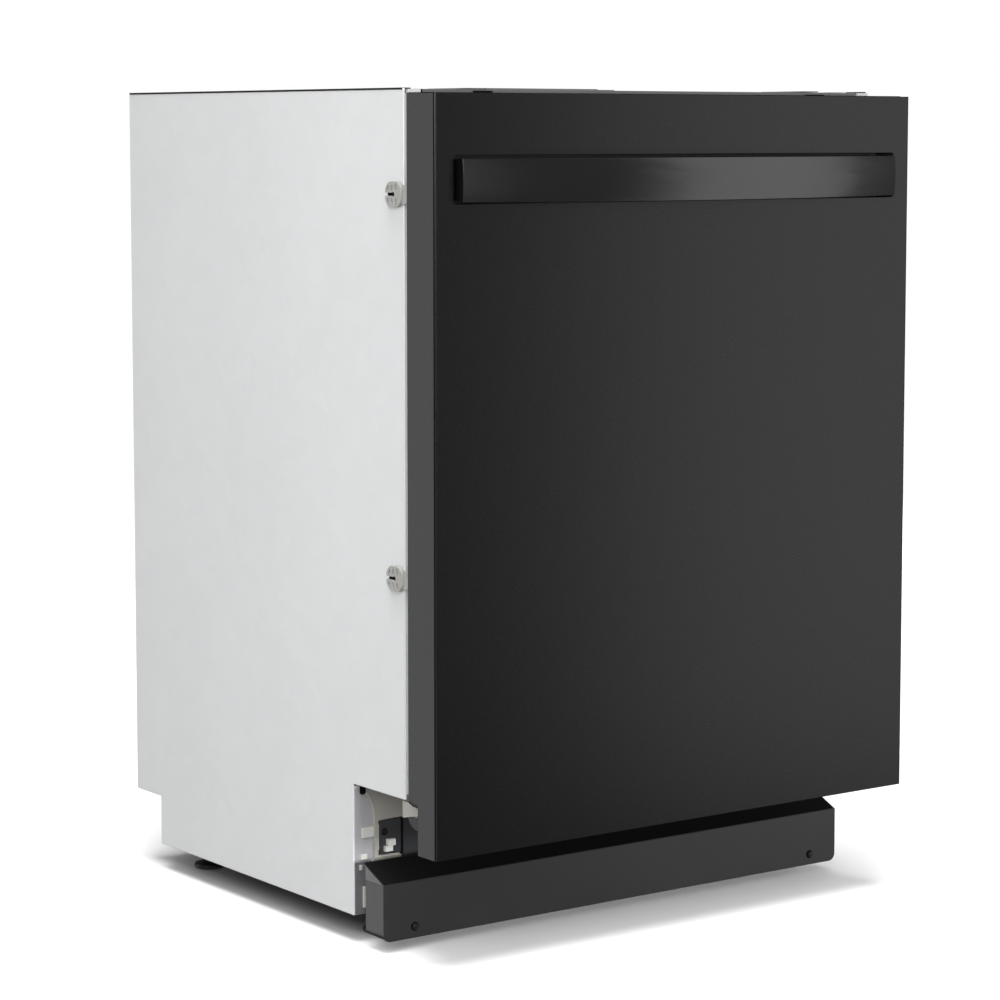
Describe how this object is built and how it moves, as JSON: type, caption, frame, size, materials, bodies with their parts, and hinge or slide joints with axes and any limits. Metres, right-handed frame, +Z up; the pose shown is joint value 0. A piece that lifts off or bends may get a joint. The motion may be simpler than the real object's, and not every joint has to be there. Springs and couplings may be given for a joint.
{
  "type": "built-in dishwasher",
  "caption": "Built-in under-counter dishwasher with a drop-down black door, bowed pocket handle, hidden top controls, sliding racks, spray arms and levelling feet.",
  "frame": {"origin": "centre of the bounding box on the floor plane, under the levelling feet", "axes": "+Z up; the door faces -Y and the rear panel +Y; +X is to the right for a person facing the door"},
  "size_m": [0.606, 0.6218, 0.8512],
  "materials": {
    "galvanised_steel": "galvanised sheet, matt, faint cloudy spangle",
    "stainless_steel": "satin stainless sheet",
    "dark_steel": "dark grey coated steel",
    "black_panel": "matt black painted steel",
    "black_kick": "satin black painted steel",
    "gloss_black": "polished black",
    "black_plastic": "fine-grained black moulding",
    "dark_plastic": "dark grey moulding",
    "beige_plastic": "beige-grey moulding",
    "white_plastic": "off-white moulding",
    "grey_plastic": "light grey moulding",
    "grey_moulding": "grey polypropylene moulding",
    "coated_wire": "grey nylon-coated wire",
    "rubber": "extruded rubber",
    "element_steel": "heat-darkened sheath",
    "spring_steel": "oiled spring wire"
  },
  "bodies": {
    "cabinet": {"side_panel_left": "galvanised_steel", "side_panel_right": "galvanised_steel", "rear_panel": "galvanised_steel", "top_panel": "galvanised_steel", "front_frame": "dark_steel", "tub": "stainless_steel", "tub_gasket": "rubber", "top_bracket_left": "dark_steel", "top_bracket_right": "dark_steel", "side_clip_upper_left": "grey_plastic", "side_clip_upper_right": "grey_plastic", "side_clip_lower_left": "grey_plastic", "side_clip_lower_right": "grey_plastic", "base_frame": "dark_plastic", "kick_panel": "black_kick", "base_bracket_left": "beige_plastic", "base_bracket_right": "beige_plastic", "wiring_cover": "dark_plastic", "wiring_connector": "white_plastic", "sump": "dark_plastic", "filter_plate": "stainless_steel", "wash_pump": "dark_plastic", "drain_pump": "white_plastic", "inlet_valve": "white_plastic", "junction_box": "galvanised_steel", "heating_element": "element_steel", "feed_tube": "grey_moulding", "rail_guide_left": "grey_moulding", "rail_guide_right": "grey_moulding", "latch_strike": "dark_steel", "door_spring_left": "spring_steel", "door_spring_right": "spring_steel"},
    "door": {"door_outer_panel": "black_panel", "door_inner_panel": "stainless_steel", "door_handle": "gloss_black", "control_console": "black_plastic", "hinge_arm_left": "dark_steel", "hinge_arm_right": "dark_steel", "dispenser_housing": "grey_moulding", "door_latch": "black_plastic"},
    "dispenser_lid": {"dispenser_lid": "grey_moulding"},
    "rinse_aid_cap": {"rinse_aid_cap": "black_plastic"},
    "upper_rails": {"upper_rail_left": "stainless_steel", "upper_rail_right": "stainless_steel"},
    "upper_rack": {"upper_rack": "coated_wire"},
    "upper_spray_arm": {"upper_spray_arm": "grey_moulding"},
    "lower_rack": {"lower_rack": "coated_wire"},
    "silverware_basket": {"silverware_basket": "grey_moulding"},
    "lower_spray_arm": {"lower_spray_arm": "grey_moulding"},
    "filter_cup": {"filter_cup": "grey_moulding"},
    "float": {"float": "grey_moulding"},
    "button_1": {"button_1": "gloss_black"},
    "button_2": {"button_2": "gloss_black"},
    "button_3": {"button_3": "gloss_black"},
    "button_4": {"button_4": "gloss_black"},
    "button_5": {"button_5": "gloss_black"},
    "foot_front_left": {"foot_front_left": "black_plastic"},
    "foot_front_right": {"foot_front_right": "black_plastic"},
    "foot_rear_left": {"foot_rear_left": "black_plastic"},
    "foot_rear_right": {"foot_rear_right": "black_plastic"}
  },
  "joints": [
    {"name": "door_hinge", "type": "hinge", "parent": "cabinet", "child": "door", "pos_m": [0, -0.2359, 0.15], "axis": [1, 0, 0], "range_deg": [0, 90], "stiffness_Nm_per_rad": 11},
    {"name": "upper_rail_slide", "type": "slide", "parent": "cabinet", "child": "upper_rails", "axis": [0, -1, 0], "range_m": [0, 0.221]},
    {"name": "upper_rack_slide", "type": "slide", "parent": "upper_rails", "child": "upper_rack", "axis": [0, -1, 0], "range_m": [0, 0.221]},
    {"name": "upper_spray_arm_spin", "type": "hinge", "parent": "upper_rack", "child": "upper_spray_arm", "pos_m": [0, 0.0371, 0.501], "axis": [0, 0, 1], "continuous": true},
    {"name": "lower_rack_slide", "type": "slide", "parent": "cabinet", "child": "lower_rack", "axis": [0, -1, 0], "range_m": [0, 0.151]},
    {"name": "silverware_basket_lift", "type": "slide", "parent": "lower_rack", "child": "silverware_basket", "axis": [0, 0, 1], "range_m": [0, 0.11]},
    {"name": "lower_spray_arm_spin", "type": "hinge", "parent": "cabinet", "child": "lower_spray_arm", "pos_m": [0, 0.0371, 0.193], "axis": [0, 0, 1], "continuous": true},
    {"name": "filter_cup_twist", "type": "hinge", "parent": "cabinet", "child": "filter_cup", "pos_m": [0.075, 0.1141, 0.14], "axis": [0, 0, 1], "range_deg": [0, 60]},
    {"name": "float_rise", "type": "slide", "parent": "cabinet", "child": "float", "axis": [0, 0, 1], "range_m": [0, 0.012]},
    {"name": "dispenser_lid_hinge", "type": "hinge", "parent": "door", "child": "dispenser_lid", "pos_m": [-0.099, -0.2129, 0.4], "axis": [0, 0, 1], "range_deg": [0, 95]},
    {"name": "rinse_aid_cap_turn", "type": "hinge", "parent": "door", "child": "rinse_aid_cap", "pos_m": [0.066, -0.2109, 0.4], "axis": [0, 1, 0], "range_deg": [0, 90]},
    {"name": "button_1_press", "type": "slide", "parent": "door", "child": "button_1", "axis": [0, 0, -1], "range_m": [0, 0.0012], "stiffness_N_per_m": 400, "springref_m": -0.0008},
    {"name": "button_2_press", "type": "slide", "parent": "door", "child": "button_2", "axis": [0, 0, -1], "range_m": [0, 0.0012], "stiffness_N_per_m": 400, "springref_m": -0.0008},
    {"name": "button_3_press", "type": "slide", "parent": "door", "child": "button_3", "axis": [0, 0, -1], "range_m": [0, 0.0012], "stiffness_N_per_m": 400, "springref_m": -0.0008},
    {"name": "button_4_press", "type": "slide", "parent": "door", "child": "button_4", "axis": [0, 0, -1], "range_m": [0, 0.0012], "stiffness_N_per_m": 400, "springref_m": -0.0008},
    {"name": "button_5_press", "type": "slide", "parent": "door", "child": "button_5", "axis": [0, 0, -1], "range_m": [0, 0.0012], "stiffness_N_per_m": 400, "springref_m": -0.0008},
    {"name": "foot_front_left_turn", "type": "hinge", "parent": "cabinet", "child": "foot_front_left", "pos_m": [-0.25, -0.1049, 0.02], "axis": [0, 0, 1], "continuous": true},
    {"name": "foot_front_right_turn", "type": "hinge", "parent": "cabinet", "child": "foot_front_right", "pos_m": [0.25, -0.1049, 0.02], "axis": [0, 0, 1], "continuous": true},
    {"name": "foot_rear_left_turn", "type": "hinge", "parent": "cabinet", "child": "foot_rear_left", "pos_m": [-0.25, 0.2341, 0.02], "axis": [0, 0, 1], "continuous": true},
    {"name": "foot_rear_right_turn", "type": "hinge", "parent": "cabinet", "child": "foot_rear_right", "pos_m": [0.25, 0.2341, 0.02], "axis": [0, 0, 1], "continuous": true}
  ],
  "couplings": [
    {"joint": "upper_rail_slide", "follows": "door_hinge", "m_per_rad": 0.14},
    {"joint": "upper_rack_slide", "follows": "door_hinge", "m_per_rad": 0.14},
    {"joint": "lower_rack_slide", "follows": "door_hinge", "m_per_rad": 0.095}
  ]
}
